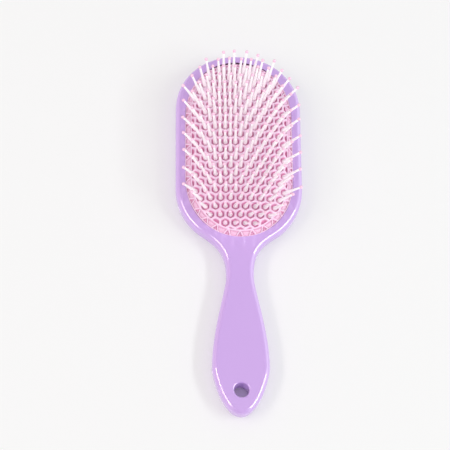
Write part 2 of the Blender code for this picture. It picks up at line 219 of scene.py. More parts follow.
# Colours, as linear red, green and blue
LAVENDER = (0.665, 0.428, 0.884, 1)
PALE_LAVENDER = (0.690, 0.453, 0.909, 1)
RIB_PINK = (0.855, 0.615, 0.790, 1)
PALE_RIB_PINK = (0.885, 0.655, 0.820, 1)
# The cell and slot pinks are painted shade: darker pink laid into the cells' floors, and darkest
# under the frame and in the slot
CELL_SHADE_PINK = (0.685, 0.25, 0.44, 1)
SLOT_SHADOW_PINK = (0.50, 0.19, 0.36, 1)
SHAFT_WHITE = (0.965, 0.92, 0.945, 1)
# The foot's pink is painted light: the pink that the rubber throws back onto the pins
FOOT_BOUNCE_PINK = (0.96, 0.83, 0.90, 1)
BALL_NECK_PINK = (0.88, 0.51, 0.68, 1)
BALL_PINK = (0.93, 0.61, 0.77, 1)

# Floor and backdrop
FLOOR_WHITE = (0.945, 0.945, 0.945, 1)
FLOOR_HALF_SIDE = 6.0
FLOOR_CLEAR = 0.0002
FLOOR_FADE_START = 0.25
FLOOR_FADE_END = 0.60
SHADOW_LIFT = 0.33
HOLE_LIFT_START = 0.005
HOLE_LIFT_END = 0.012
BACKDROP = (0.905, 0.907, 0.909, 1)

# Light: the fill, what reflections see of the studio, the ways to the lamps and their colours
FILL = 0.68
FILL_WHITE = (1, 1, 1, 1)
LEFT_TINT = (1.05, 0.78, 0.80, 1)
RIGHT_TINT = (0.98, 1.04, 1.02, 1)
CEILING_GLOW = 0.25
LEFT_GLOW = 1.1
RIGHT_GLOW = 1.7
GLOW_STARTS = 0.45
GLOW_FULL = 0.85
LAMP_DISTANCE = 2.2
GLEAM_DISTANCE = 2.1
LEFT = (-0.69, -0.13, 0.69)
RIGHT = (0.74, -0.18, 0.64)
FRONT = (0.14, -0.80, 0.58)
ACROSS_BRUSH = (1, 0, 0)
ALONG_BRUSH = (0, 1, 0)
LEFT_LIGHT = (1.0, 0.89, 0.87)
RIGHT_LIGHT = (0.94, 1.0, 1.0)
WHITE_LIGHT = (1, 1, 1)


# Outlines, as arrays of (x, y) round the pad's centre, anticlockwise


def end_arc(half_width, straight, curve, fullness):
    """A rounded end from its middle out: x goes as the sine and y as the cosine, to a power."""
    angle = np.linspace(0, math.pi / 2, CURVE_STEPS)
    x = half_width * np.sin(angle) ** fullness
    y = straight + curve * np.maximum(np.cos(angle), 0) ** fullness
    return np.column_stack((x, y))


def bezier(start, first, second, end):
    """A cubic curve: its four points weighted by the products of t and 1 - t."""
    t = np.linspace(0, 1, CURVE_STEPS)[:, None]
    s = 1 - t
    start, first, second, end = map(np.array, (start, first, second, end))
    return s**3 * start + 3 * s * s * t * first + 3 * s * t * t * second + t**3 * end


def evenly(points, count):
    """A closed outline walked in equal steps of its length."""
    closed = np.vstack((points, points[:1]))
    reach = np.concatenate(([0], np.cumsum(np.hypot(*np.diff(closed, axis=0).T))))
    steps = np.linspace(0, reach[-1], count, endpoint=False)
    return np.column_stack([np.interp(steps, reach, closed[:, axis]) for axis in (0, 1)])


def mirrored(half, count):
    """The whole outline of a right half that runs from the top of the axis to its bottom."""
    left = half * (-1, 1)
    return evenly(np.vstack((left, half[::-1])), count)


def brush_outline():
    """The frame's edge. The head's ends are rounded ends, and the one at the handle stops short.

    Cubic curves run on from there, in the direction in which it stops, through the neck and the
    swell of the handle to its end.
    """
    half_width = HEAD_WIDTH / 2
    foot_straight = HEAD_FOOT - PAD_END_CURVE
    head = end_arc(half_width, HEAD_TOP - PAD_END_CURVE, PAD_END_CURVE, HEAD_FULLNESS)
    last = math.asin((SHOULDER_WIDTH / HEAD_WIDTH) ** (1 / HEAD_FULLNESS))
    angle = np.linspace(math.pi / 2, last, CURVE_STEPS)
    across = half_width * np.sin(angle) ** HEAD_FULLNESS
    along = foot_straight + PAD_END_CURVE * np.maximum(np.cos(angle), 0) ** HEAD_FULLNESS
    shoulder = np.column_stack((across, -along))
    slope_across = half_width * math.cos(last) * math.sin(last) ** (HEAD_FULLNESS - 1)
    slope_along = PAD_END_CURVE * math.sin(last) * math.cos(last) ** (HEAD_FULLNESS - 1)
    way = np.array((-slope_across, -slope_along))
    leave = shoulder[-1] + way / np.hypot(*way) * NECK_FLARE
    neck = (NECK_WIDTH / 2, -NECK_REACH)
    swell = (HANDLE_WIDTH / 2, -HANDLE_REACH)
    into_neck = bezier(shoulder[-1], leave, (neck[0], neck[1] + NECK_DRAW), neck)
    above = (swell[0], swell[1] + SWELL_STRETCH)
    handle = bezier(neck, (neck[0], neck[1] - WAIST_STRETCH), above, swell)
    below = (swell[0], swell[1] - END_STRETCH)
    tail = bezier(swell, below, (TIP_STRETCH, -HANDLE_END), (0, -HANDLE_END))
    return mirrored(np.vstack((head, shoulder, into_neck, handle, tail)), OUTLINE_STEPS)


def pad_outline():
    """The pad's edge: straight sides between two rounded ends."""
    straight = PAD_LENGTH / 2 - PAD_END_CURVE
    end = end_arc(PAD_WIDTH / 2, straight, PAD_END_CURVE, PAD_FULLNESS)
    return mirrored(np.vstack((end, end[::-1] * (1, -1))), OPENING_STEPS)


def circle(radius, x, y):
    """Points at the cosine and the sine of equal steps of angle."""
    angle = np.linspace(0, 2 * math.pi, HOLE_STEPS, endpoint=False)
    return np.column_stack((x + radius * np.cos(angle), y + radius * np.sin(angle)))


def outward(outline):
    """Unit normals of an anticlockwise outline: the way on, turned a quarter turn clockwise."""
    way = np.roll(outline, -1, axis=0) - np.roll(outline, 1, axis=0)
    way /= np.hypot(*way.T)[:, None]
    return np.column_stack((way[:, 1], -way[:, 0]))


def smooth(t):
    """A smooth climb from 0 to 1 as t goes from 0 to 1: three squares less two cubes."""
    t = np.clip(t, 0, 1)
    return t * t * (3 - 2 * t)


def head_share(y):
    """How far a place round the pad has come into the slot at the head's end."""
    return smooth((y - SLOT_REACH) / SLOT_LENGTH)


# Surfaces


def linked(name, data):
    """A new object that holds the data and is in the scene."""
    obj = bpy.data.objects.new(name, data)
    bpy.context.scene.collection.objects.link(obj)
    return obj


def mark(piece, name, values):
    """Gives the piece's points an attribute, which its finish reads."""
    attribute = piece.data.attributes.new(name, "FLOAT", "POINT")
    attribute.data.foreach_set("value", values)


class Skin:
    """The vertices and faces of one closed surface, gathered ring by ring."""

    def __init__(self):
        self.points = []
        self.faces = []
        self.count = 0

    def add(self, points):
        """Adds points and gives back their numbers in the same layout."""
        numbers = self.count + np.arange(points[..., 0].size).reshape(points.shape[:-1])
        self.points.append(points.reshape(-1, 3))
        self.count += numbers.size
        return numbers

    def join(self, rings):
        """Four-sided faces between each ring of numbers and the next, closed round."""
        lower, upper = rings[:-1], rings[1:]
        after = np.roll(lower, -1, axis=1), np.roll(upper, -1, axis=1)
        self.faces += np.stack((lower, after[0], after[1], upper), -1).reshape(-1, 4).tolist()

    def carry(self, outline, profile):
        """Carries a profile of (inset, height) pairs round an outline, along its normals."""
        inset, height = np.array(profile).T[:, :, None]
        normal = outward(outline)
        x = outline[:, 0] - inset * normal[:, 0]
        y = outline[:, 1] - inset * normal[:, 1]
        rings = self.add(np.stack((x, y, height + 0 * x), -1))
        self.join(rings)
        return rings

    def fill(self, loops, up):
        """Flat triangles between an outer loop of numbers and the holes that follow it."""
        points = np.vstack(self.points)
        millimetres = [[Vector(points[n] * TO_MILLIMETRES) for n in loop] for loop in loops]
        numbers = np.concatenate(loops)
        triangles = numbers[np.array(tessellate_polygon(millimetres))]
        self.faces += turned(points, triangles, up).tolist()

    def piece(self, name):
        """The finished object, moved from the pad's centre to its place in its mesh."""
        points = np.vstack(self.points) + (0, PAD_CENTRE_Y, 0)
        mesh = bpy.data.meshes.new(name)
        mesh.from_pydata(points.tolist(), [], self.faces)
        mesh.update()
        mesh.shade_smooth()
        return linked(name, mesh)


def turned(points, triangles, up):
    """Triangles with their corners in the order that faces them up, or down."""
    a, b, c = (points[triangles[:, corner], :2] for corner in range(3))
    area = (b[:, 0] - a[:, 0]) * (c[:, 1] - a[:, 1]) - (b[:, 1] - a[:, 1]) * (c[:, 0] - a[:, 0])
    wrong = (area > 0) != up
    triangles[wrong] = triangles[wrong][:, ::-1]
    return triangles


def quarter(inset, height, radius, way_in, way_up, falling=False):
    """(inset, height) pairs round a quarter circle: from its steep end, or to it if falling."""
    angle = np.linspace(0, math.pi / 2, EDGE_STEPS + 1)
    if falling:
        angle = angle[::-1]
    insets = inset + way_in * radius * (1 - np.cos(angle))
    heights = height + way_up * radius * np.sin(angle)
    return list(zip(insets, heights))


# Frame


def front_hole_profile():
    """Round the edge of the face, down the hanging hole, then out and up its collar."""
    top = FRONT_FACE - HOLE_EDGE_RADIUS
    profile = [(-HOLE_EDGE_RADIUS - FLAT_MARGIN, FRONT_FACE)]
    profile += quarter(0, top, HOLE_EDGE_RADIUS, -1, 1, falling=True)
    profile += [(0, FRONT_FOOT), (-HOLE_COLLAR, FRONT_FOOT), (-HOLE_COLLAR, LIP_UNDERSIDE)]
    return profile


def make_front_shell():
    """The band round the pad and the handle's face: a flat face with a rounded outer edge."""
    skin = Skin()
    shoulder = FRONT_FACE - FRONT_EDGE_RADIUS
    profile = [(WALL, LIP_UNDERSIDE), (WALL, FRONT_FOOT), (SEAM_ROUND, FRONT_FOOT)]
    profile += [(0, FRONT_FOOT + SEAM_ROUND)]
    profile += quarter(0, shoulder, FRONT_EDGE_RADIUS, 1, 1)
    profile += [(FRONT_EDGE_RADIUS + FLAT_MARGIN, FRONT_FACE)]
    outer = skin.carry(brush_outline(), profile)
    lip = pad_outline()
    lip[:, 1] += LIP_DRAW_BACK * head_share(lip[:, 1])
    opening_edge = FRONT_FACE - LIP_EDGE_RADIUS
    profile = [(-FIT_GAP - LIP_EDGE_RADIUS - FLAT_MARGIN, FRONT_FACE)]
    profile += quarter(-FIT_GAP, opening_edge, LIP_EDGE_RADIUS, -1, 1, falling=True)
    profile += [(-FIT_GAP, FRONT_FACE - LIP_FACE), (-FIT_GAP - LIP_UNDERCUT, LIP_UNDERSIDE)]
    opening = skin.carry(lip, profile)
    hole = skin.carry(circle(HOLE_RADIUS, 0, -HOLE_REACH), front_hole_profile())
    skin.fill((outer[-1], opening[0], hole[0]), up=True)
    skin.fill((outer[0], opening[-1], hole[-1]), up=False)
    return skin.piece("frame_front")


def make_back_shell():
    """The back of the head and handle, with the seat rib, the hole's collar and the vent."""
    skin = Skin()
    profile = [(BACK_EDGE_RADIUS + FLAT_MARGIN, 0)]
    profile += quarter(0, BACK_EDGE_RADIUS, BACK_EDGE_RADIUS, 1, -1, falling=True)
    profile += [(0, PARTING_HEIGHT - SEAM_ROUND / 2), (SEAM_ROUND, PARTING_HEIGHT)]
    profile += [(WALL, PARTING_HEIGHT), (WALL, WALL)]
    outer = skin.carry(brush_outline(), profile)
    middle = (PAD_FLANGE - PAD_DRAW_IN) / 2
    rib_out, rib_in = -middle - SEAT_RIB_WIDTH / 2, -middle + SEAT_RIB_WIDTH / 2
    profile = [(rib_out, WALL), (rib_out, SEAT_TOP), (rib_in, SEAT_TOP), (rib_in, WALL)]
    seat = skin.carry(pad_outline(), profile)
    profile = [(-HOLE_COLLAR, WALL), (-HOLE_COLLAR, PARTING_HEIGHT), (0, PARTING_HEIGHT)]
    profile += quarter(0, HOLE_EDGE_RADIUS, HOLE_EDGE_RADIUS, -1, -1)
    profile += [(-HOLE_EDGE_RADIUS - FLAT_MARGIN, 0)]
    hole = skin.carry(circle(HOLE_RADIUS, 0, -HOLE_REACH), profile)
    vent = skin.carry(circle(VENT_RADIUS, 0, 0), [(0, WALL), (0, 0)])
    skin.fill((outer[0], hole[-1], vent[-1]), up=False)
    skin.fill((outer[-1], seat[0], hole[0]), up=True)
    skin.fill((seat[-1], vent[0]), up=True)
    return skin.piece("frame_back")


# Pad


def pad_height(x, y):
    """The pins' feet: the crown less a drop to the sides and one to the ends.

    Each drop is a share of the square of the way out and the rest of a higher power.
    """
    out = np.abs(x) / (PAD_WIDTH / 2)
    along = np.abs(y) / (PAD_LENGTH / 2)
    side = SIDE_SQUARE_SHARE * out**2 + (1 - SIDE_SQUARE_SHARE) * out**SIDE_POWER
    end = END_SQUARE_SHARE * along**2 + (1 - END_SQUARE_SHARE) * along**END_POWER
    return CROWN_HEIGHT - PAD_SIDE_DROP * side - PAD_END_DROP * end


def row_y(row):
    """Rows draw a little closer together towards the ends, where the dome slopes away."""
    share = row / HALF_ROWS
    return END_ROW_REACH * share * (1 + ROW_SPREAD_SHARE * (1 - share**2))


def row_at(y):
    """The row number at y, with its fraction: row_y read backwards."""
    rows = np.linspace(-OUTER_ROWS, OUTER_ROWS, ROW_SAMPLES)
    return np.interp(y, row_y(rows), rows)


def row_pins(row):
    """The pins' x in one row: rows are half a pitch out from their neighbours."""
    half_width = PAD_WIDTH / 2 - PIN_EDGE_MARGIN
    straight = PAD_LENGTH / 2 - PAD_END_CURVE
    along = max(abs(row_y(row)) - straight, 0) / (PAD_END_CURVE - PIN_EDGE_MARGIN)
    limit = half_width * math.sqrt(max(1 - along**2, 0))
    first = 0 if (HALF_ROWS - row) % 2 else PIN_PITCH / 2
    right = np.arange(first, limit, PIN_PITCH)
    return np.concatenate((-right[right > 0][::-1], right))


def out_of_cell(across, along):
    """0 in a cell's middle and 1 on its flats.

    The ways out to the three pairs of flats are raised to a high power, summed and rooted,
    which rounds the corners.
    """
    ways = across[..., None] * np.cos(FLAT_ANGLES) + along[..., None] * np.sin(FLAT_ANGLES)
    shares = np.abs(ways) / (PIN_PITCH / 2)
    return (shares**HEXAGON_POWER).sum(-1) ** (1 / HEXAGON_POWER)


def honeycomb_distance(x, y):
    """Distance to the honeycomb's nearest line, measured from the nearest cell's middle."""
    row = row_at(y)
    found = None
    for parity in (0, 1):
        centre_row = 2 * np.round((row - parity) / 2) + parity
        shift = 0.5 * (1 - parity)
        across = x - (np.round(x / PIN_PITCH - shift) + shift) * PIN_PITCH
        along = (row - centre_row) * ROW_PITCH
        here = np.stack((across, along))
        if found is None:
            found = here
        nearer = (here**2).sum(0) < (found**2).sum(0)
        found = np.where(nearer, here, found)
    return (1 - out_of_cell(*found)) * PIN_PITCH / 2


def cell_points():
    """The honeycomb's points: rings of one cell's shape, set round each cell's middle."""
    slopes = SLOPE_SHARES * RIB_SLOPE + HONEYCOMB_HALF_WIDTH
    sizes = np.concatenate((1 - slopes / (PIN_PITCH / 2), CELL_FLOOR_SIZES))
    angle = np.linspace(0, 2 * math.pi, CELL_STEPS, endpoint=False)
    unit = np.stack((np.cos(angle), np.sin(angle)))
    ring = unit * PIN_PITCH / 2 / out_of_cell(*(unit * PIN_PITCH / 2))
    crest = unit / np.abs(np.cos((angle + math.pi / 6) % (math.pi / 3) - math.pi / 6))
    rings = [ring * size for size in sizes] + [crest * PIN_PITCH / 2]
    cell = np.concatenate(rings, axis=1)
    rows = np.arange(-OUTER_ROWS, OUTER_ROWS + 1)
    steps = np.arange(-OUTER_PINS, OUTER_PINS + 1)
    rows, steps = np.meshgrid(rows, steps, indexing="ij")
    middles = (steps + 0.5 * (1 - rows % 2)) * PIN_PITCH
    x = middles[..., None] + cell[0]
    y = row_y(rows[..., None] + cell[1] / ROW_PITCH)
    return np.column_stack((x.ravel(), y.ravel()))


def inset_of(points, outline):
    """How far inside the outline each point is, along the normal at the outline's nearest point."""
    normal = outward(outline)
    nearest = np.empty(len(points), int)
    for start in range(0, len(points), POINTS_AT_ONCE):
        part = slice(start, start + POINTS_AT_ONCE)
        nearest[part] = ((points[part, None] - outline) ** 2).sum(-1).argmin(1)
    return ((outline[nearest] - points) * normal[nearest]).sum(1)


def strut_ends(outline):
    """Both ends of each strut: pairs that meet at the ridge and part towards the rim."""
    normal = outward(outline)
    ridge = outline - normal * RIDGE_INSET
    reach = np.concatenate(([0], np.cumsum(np.hypot(*np.diff(ridge, axis=0).T))))
    length = reach[-1] + np.hypot(*(ridge[0] - ridge[-1]))
    starts = np.arange(STRUT_PAIRS) / STRUT_PAIRS * length
    heads, feet = [], []
    for side in (-1, 1):
        ends = ((heads, starts, RIDGE_INSET), (feet, starts + side * STRUT_SPREAD, 0))
        for found, places, inset in ends:
            line = outline - normal * inset
            x = np.interp(places, reach, line[:, 0], period=length)
            y = np.interp(places, reach, line[:, 1], period=length)
            found.append(np.column_stack((x, y)))
    return np.vstack(heads), np.vstack(feet)


def strut_distance(points, heads, feet):
    """Distance to the nearest strut, each a straight line from the ridge to the rim."""
    way = feet - heads
    share = ((points[:, None] - heads) * way).sum(-1) / (way**2).sum(-1)
    nearest = heads + np.clip(share, 0, 1)[..., None] * way
    return np.sqrt(((points[:, None] - nearest) ** 2).sum(-1)).min(1)


def rib(distance, half_width, slope=RIB_SLOPE):
    """A rib's height as a share: 1 on its top, then a smooth slope down to 0."""
    return 1 - smooth((distance - half_width) / slope)


def rib_share(points, inset, struts):
    """The highest of the ribs at each point: honeycomb, ridge, rim and struts.

    Between the ridge and the rim the floor swells towards the middle of each compartment.
    """
    comb = rib(honeycomb_distance(*points.T), HONEYCOMB_HALF_WIDTH) * (inset > RIDGE_INSET)
    ridge = rib(np.abs(inset - RIDGE_INSET), RIDGE_HALF_WIDTH)
    rim = rib(inset, RIM_WIDTH)
    strut = np.zeros(len(points))
    band = inset < RIDGE_INSET
    away = strut_distance(points[band], *struts) - STRUT_HALF_WIDTH
    strut[band] = rib(away, 0, STRUT_SLOPE)
    for line, half_width in ((0, RIM_WIDTH), (RIDGE_INSET, RIDGE_HALF_WIDTH)):
        away = np.minimum(away, np.abs(inset[band] - line) - half_width)
    pillow = np.zeros(len(points))
    pillow[band] = PILLOW_SHARE * smooth(away / PILLOW_WIDTH)
    return np.maximum.reduce((comb, ridge, rim, strut, pillow))


def rib_top(points, inset):
    """The height of the ribs' tops: over the pins' feet, and let down towards the rim."""
    return pad_height(*points.T) + RIB_RISE - EDGE_SINK * (1 - smooth(inset / EDGE_SINK_WIDTH))


def recess_depth(points, inset, heads, feet):
    """How far the face lies under the ribs' tops.

    The cells, the nooks between the two struts of a pair, and the rest of the band between the
    ridge and the rim have a depth each. A nook widens evenly from its pair's head.
    """
    middles = (feet[:STRUT_PAIRS] + feet[STRUT_PAIRS:]) / 2
    place = ((points[:, None] - middles) ** 2).sum(-1).argmin(1)
    way = middles[place] - heads[place]
    reach = np.hypot(*way.T)
    from_head = points - heads[place]
    along = (from_head * way).sum(1) / reach
    aside = np.abs(from_head[:, 0] * way[:, 1] - from_head[:, 1] * way[:, 0]) / reach
    inside = aside < STRUT_SPREAD * along / reach
    depth = np.where(inside, NOOK_DEPTH, BAND_DEPTH)
    return np.where(inset > RIDGE_INSET, CELL_DEPTH, depth)


def drawn_in(points, inset):
    """The points, those near the rim at the head's end moved to the slot's width from the lip."""
    share = head_share(points[:, 1]) * (1 - smooth(inset / RIDGE_INSET))
    moved = points.copy()
    moved[:, 1] -= (SLOT_WIDTH - LIP_DRAW_BACK) * share
    return moved


def rim_lines():
    """Insets of the lines that follow the rim and the ridge."""
    steps = SLOPE_SHARES * RIB_SLOPE
    return np.concatenate(
        (
            (PAD_EDGE_ROUND,),
            RIM_WIDTH + steps,
            np.linspace(RIM_WIDTH, RIDGE_INSET, BAND_STEPS)[2:-1],
            RIDGE_INSET - RIDGE_HALF_WIDTH - steps[::-1],
            (RIDGE_INSET,),
            RIDGE_INSET + RIDGE_HALF_WIDTH + steps,
        )
    )


def strut_points(heads, feet):
    """Lines along each strut: its middle, the edges of its top and the feet of its sides."""
    way = feet - heads
    side = np.stack((-way[:, 1], way[:, 0]), -1) / np.hypot(*way.T)[:, None]
    edges = STRUT_HALF_WIDTH + np.array((0, 0.5, 1)) * STRUT_SLOPE
    offsets = np.concatenate((-edges[::-1], (0,), edges))
    along = np.linspace(0, 1, STRUT_STEPS)
    points = heads[:, None, None] + along[:, None, None] * way[:, None, None]
    return (points + offsets[:, None] * side[:, None, None]).reshape(-1, 2)


def pad_points(outline, struts):
    """All points of the pad's face, the rim's own ring first and each place once.

    Lines and cells give way where a rib that isn't theirs comes near.
    """
    normal = outward(outline)
    lines = [outline - normal * inset for inset in rim_lines()]
    rim, others = lines[0], np.vstack(lines[1:])
    ridge_out, ridge_in = RIDGE_INSET - RIDGE_HALF_WIDTH, RIDGE_INSET + RIDGE_HALF_WIDTH
    inset = inset_of(others, outline)
    in_band = (inset > RIM_WIDTH + LINE_CLEARANCE) & (inset < ridge_out - LINE_CLEARANCE)
    near = strut_distance(others, *struts) < STRUT_CLEARANCE
    others = others[~(in_band & near)]
    sides = strut_points(*struts)
    inset = inset_of(sides, outline)
    sides = sides[(inset > RIM_WIDTH + RIB_SLOPE) & (inset < ridge_out - RIB_SLOPE)]
    cells = cell_points()
    cells = cells[(np.abs(cells) < (PAD_WIDTH / 2, PAD_LENGTH / 2)).all(1)]
    cells = cells[inset_of(cells, outline) > ridge_in + CELL_CLEARANCE]
    points = np.vstack((rim, others, sides, cells))
    _, first = np.unique(np.round(points / POINT_SPACING) + 0.0, axis=0, return_index=True)
    return points[np.sort(first)]


def make_pad():
    """A crowned rubber cushion with sunk cells, whose foot draws in above a flange.

    The depth attribute is 0 on the ribs' tops, 1 on the cells' floors and 2 under the frame and
    down in the slot at the head's end. The rubber's finish paints shade darker as it rises.
    """
    outline = pad_outline()
    struts = strut_ends(outline)
    points = pad_points(outline, struts)
    flat = [Vector(point) for point in points * TO_MILLIMETRES]
    found = delaunay_2d_cdt(flat, [], [], 0, MERGE_MILLIMETRES)
    vertices, _, triangles, origins, _, _ = found
    place = {old: new for new, olds in enumerate(origins) for old in olds}
    rim = np.array([place[old] for old in range(OPENING_STEPS)])
    points = np.array([tuple(vertex) for vertex in vertices]) / TO_MILLIMETRES
    inset = inset_of(points, outline)
    sunk = (1 - rib_share(points, inset, struts)) * recess_depth(points, inset, *struts)
    height = rib_top(points, inset) - sunk

    skin = Skin()
    numbers = skin.add(np.column_stack((drawn_in(points, inset), height)))
    skin.faces += turned(points, np.array(triangles), up=True).tolist()
    rim = numbers[rim]
    profile = [(PAD_DRAW_IN, FLANGE_BOTTOM), (-PAD_FLANGE, FLANGE_BOTTOM)]
    profile += [(-PAD_FLANGE, FLANGE_TOP), (PAD_DRAW_IN, FLANGE_TOP)]
    foot = skin.carry(outline, profile)
    edge = skin.add(np.column_stack((drawn_in(outline, 0), height[rim] - PAD_EDGE_ROUND)))
    skin.join(np.array((foot[-1], edge, rim)))
    skin.fill((foot[0],), up=False)
    pad = skin.piece("honeycomb_pad")
    depths = np.full(skin.count, UNDER_FRAME_SHADE, np.float32)
    depths[edge] = UNDER_FRAME_SHADE * head_share(outline[:, 1])
    depths[: len(sunk)] = sunk / CELL_DEPTH
    mark(pad, "depth", depths)
    return pad


# Pins


def pin_places():
    """Each pin's foot, and its axis: the dome's slopes made a little steeper, and scattered."""
    x, y = [], []
    for row in range(-HALF_ROWS, HALF_ROWS + 1):
        places = row_pins(row)
        x.append(places)
        y.append(np.full(len(places), row_y(row)))
    x, y = np.concatenate(x), np.concatenate(y)
    step = PIN_FOOT_RADIUS
    across = (pad_height(x - step, y) - pad_height(x + step, y)) / (2 * step)
    along = (pad_height(x, y - step) - pad_height(x, y + step)) / (2 * step)
    axis = np.column_stack((SPLAY_SHARE * across, SPLAY_SHARE * along, np.ones(len(x))))
    axis /= np.linalg.norm(axis, axis=1)[:, None]
    scatter = np.random.default_rng(SCATTER_SEED).normal(0, TIP_SCATTER, (len(x), 2))
    scatter = np.clip(scatter, -SCATTER_LIMIT * TIP_SCATTER, SCATTER_LIMIT * TIP_SCATTER)
    scatter[-len(HEAD_ROW_SCATTER) :] = HEAD_ROW_SCATTER
    axis[:, :2] += scatter / PIN_LENGTH
    axis /= np.linalg.norm(axis, axis=1)[:, None]
    return np.column_stack((x, y, pad_height(x, y))), axis


def turned_shapes(feet, axes, heights, radii, sides):
    """The same turned profile on every axis: circles of those radii at those heights."""
    across = np.array((1.0, 0, 0)) - axes * axes[:, :1]
    across /= np.linalg.norm(across, axis=1)[:, None]
    along = np.cross(axes, across)
    angle = np.linspace(0, 2 * math.pi, sides, endpoint=False)[:, None]
    spoke = np.cos(angle) * across[:, None, None] + np.sin(angle) * along[:, None, None]
    centres = feet[:, None, None] + heights[:, None, None] * axes[:, None, None]
    return centres + radii[:, None, None] * spoke


def make_turned(name, feet, axes, heights, radii, sides):
    """One piece of all the turned shapes, each closed by a flat foot and a flat end.

    The along attribute is 0 at the foot and 1 at the end.
    """
    skin = Skin()
    numbers = skin.add(turned_shapes(feet, axes, heights, radii, sides))
    for rings in numbers:
        skin.join(rings)
    skin.faces += numbers[:, 0, ::-1].tolist()
    skin.faces += numbers[:, -1].tolist()
    piece = skin.piece(name)
    along = np.broadcast_to(np.linspace(0, 1, len(heights))[:, None], numbers.shape)
    mark(piece, "along", along.astype(np.float32).ravel())
    return piece


def make_pins():
    """Shafts on round bosses: the radius falls as a power of the way left to the tip."""
    feet, axes = pin_places()
    neck = PIN_LENGTH - BALL_RADIUS / 2
    heights = np.concatenate(((-PIN_ROOT_DEPTH,), SHAFT_SHARES * neck))
    left = np.clip(1 - heights / PIN_LENGTH, 0, 1)
    radii = PIN_NECK_RADIUS + (PIN_FOOT_RADIUS - PIN_NECK_RADIUS) * left**PIN_TAPER_POWER
    radii[:2] = PIN_BOSS_RADIUS
    return make_turned("nylon_pins", feet, axes, heights, radii, PIN_SIDES)


def make_balls():
    """Ball tips: circles of a sphere from its neck, where the shaft enters, to its pole."""
    feet, axes = pin_places()
    heights = PIN_LENGTH + BALL_RADIUS * np.sin(BALL_LATITUDES)
    radii = BALL_RADIUS * np.cos(BALL_LATITUDES)
    return make_turned("ball_tips", feet, axes, heights, radii, BALL_SIDES)


# Finishes


class Value:
    """A number or colour that varies over a surface. Sums on it add the shader's maths nodes."""

    def __init__(self, graph, socket):
        self.graph = graph
        self.socket = socket

    def maths(self, operation, first, second):
        """One maths node on two numbers or values."""
        node = self.graph.node("ShaderNodeMath", {"operation": operation}, {0: first, 1: second})
        return Value(self.graph, node.outputs[0])

    def __add__(self, other):
        return self.maths("ADD", self, other)

    def __sub__(self, other):
        return self.maths("SUBTRACT", self, other)

    def __mul__(self, other):
        return self.maths("MULTIPLY", self, other)

    def __rsub__(self, other):
        return self.maths("SUBTRACT", other, self)

    def __pow__(self, other):
        return self.maths("POWER", self, other)

    __radd__ = __add__
    __rmul__ = __mul__


class Graph:
    """The nodes of one material, or of the world, and the links between them."""

    def __init__(self, tree):
        self.tree = tree

    def feed(self, node, values):
        """Links or sets a node's sockets, given by name or number."""
        for key, value in values.items():
            if isinstance(value, Value):
                self.tree.links.new(value.socket, node.inputs[key])
            else:
                node.inputs[key].default_value = value

    def node(self, kind, settings=None, values=None):
        """A new node: its settings first, and then the values of its sockets."""
        node = self.tree.nodes.new(kind)
        for key, value in (settings or {}).items():
            setattr(node, key, value)
        self.feed(node, values or {})
        return node

    def noise(self, scale, detail=2):
        """Noise in the object's own space, about 0.5, with scale blobs to the metre."""
        place = Value(self, self.node("ShaderNodeTexCoord").outputs["Object"])
        values = {"Vector": place, "Scale": scale, "Detail": detail}
        return Value(self, self.node("ShaderNodeTexNoise", values=values).outputs["Fac"])

    def attribute(self, name):
        """An attribute of the piece's own points."""
        node = self.node("ShaderNodeAttribute", {"attribute_name": name})
        return Value(self, node.outputs["Fac"])

    def mix(self, first, second, share):
        """A colour that goes from the first to the second: the node's sockets for colours."""
        node = self.node("ShaderNodeMix", {"data_type": "RGBA"}, {0: share, 6: first, 7: second})
        return Value(self, node.outputs[2])

    def distance(self, place, centre, start, end):
        """0 at places nearer to the centre than start, then a smooth climb to 1 at end."""
        node = self.node("ShaderNodeVectorMath", {"operation": "DISTANCE"}, {0: place, 1: centre})
        limits = {"Value": Value(self, node.outputs["Value"]), "From Min": start, "From Max": end}
        climb = self.node("ShaderNodeMapRange", {"interpolation_type": "SMOOTHSTEP"}, limits)
        return Value(self, climb.outputs["Result"])

    def bump(self, height, distance, strength):
        """The normal over a height that is a share of the distance."""
        values = {"Height": height, "Distance": distance, "Strength": strength}
        return Value(self, self.node("ShaderNodeBump", values=values).outputs[0])

    def layers(self, first, second, share):
        """Two shaders laid over each other, the second by its share."""
        node = self.node("ShaderNodeMixShader", values={0: share})
        self.tree.links.new(first.outputs[0], node.inputs[1])
        self.tree.links.new(second.outputs[0], node.inputs[2])
        return node

    def ray(self, *kinds):
        """1 on rays of any of these kinds."""
        path = self.node("ShaderNodeLightPath")
        found = Value(self, path.outputs[kinds[0]])
        for kind in kinds[1:]:
            found = found.maths("MAXIMUM", found, Value(self, path.outputs[kind]))
        return found


class Finish(Graph):
    """One material: a Principled shader and the nodes that feed it."""

    def __init__(self, name, **constants):
        self.material = bpy.data.materials.new(name)
        self.material.use_nodes = True
        super().__init__(self.material.node_tree)
        self.shader = self.tree.nodes["Principled BSDF"]
        self.give(**constants)

    def give(self, **values):
        """Feeds the shader's sockets; a name's underline stands for a space."""
        self.feed(self.shader, {key.replace("_", " "): value for key, value in values.items()})
        return self.material


def lavender_plastic():
    """Glossy moulding: faint clouds in the colour, a polish that varies and a little ripple."""
    finish = Finish("lavender_plastic", Specular_IOR_Level=0.1, IOR=1.49)
    finish.give(Coat_Weight=1.0, Coat_IOR=1.9, Coat_Roughness=0.03)
    clouds = finish.noise(scale=28, detail=3)
    grain = finish.noise(scale=900)
    ripple = finish.noise(scale=160)
    return finish.give(
        Base_Color=finish.mix(LAVENDER, PALE_LAVENDER, clouds),
        Roughness=0.30 + 0.08 * clouds + 0.04 * grain,
        Normal=finish.bump(ripple, distance=0.0002, strength=0.015),
    )


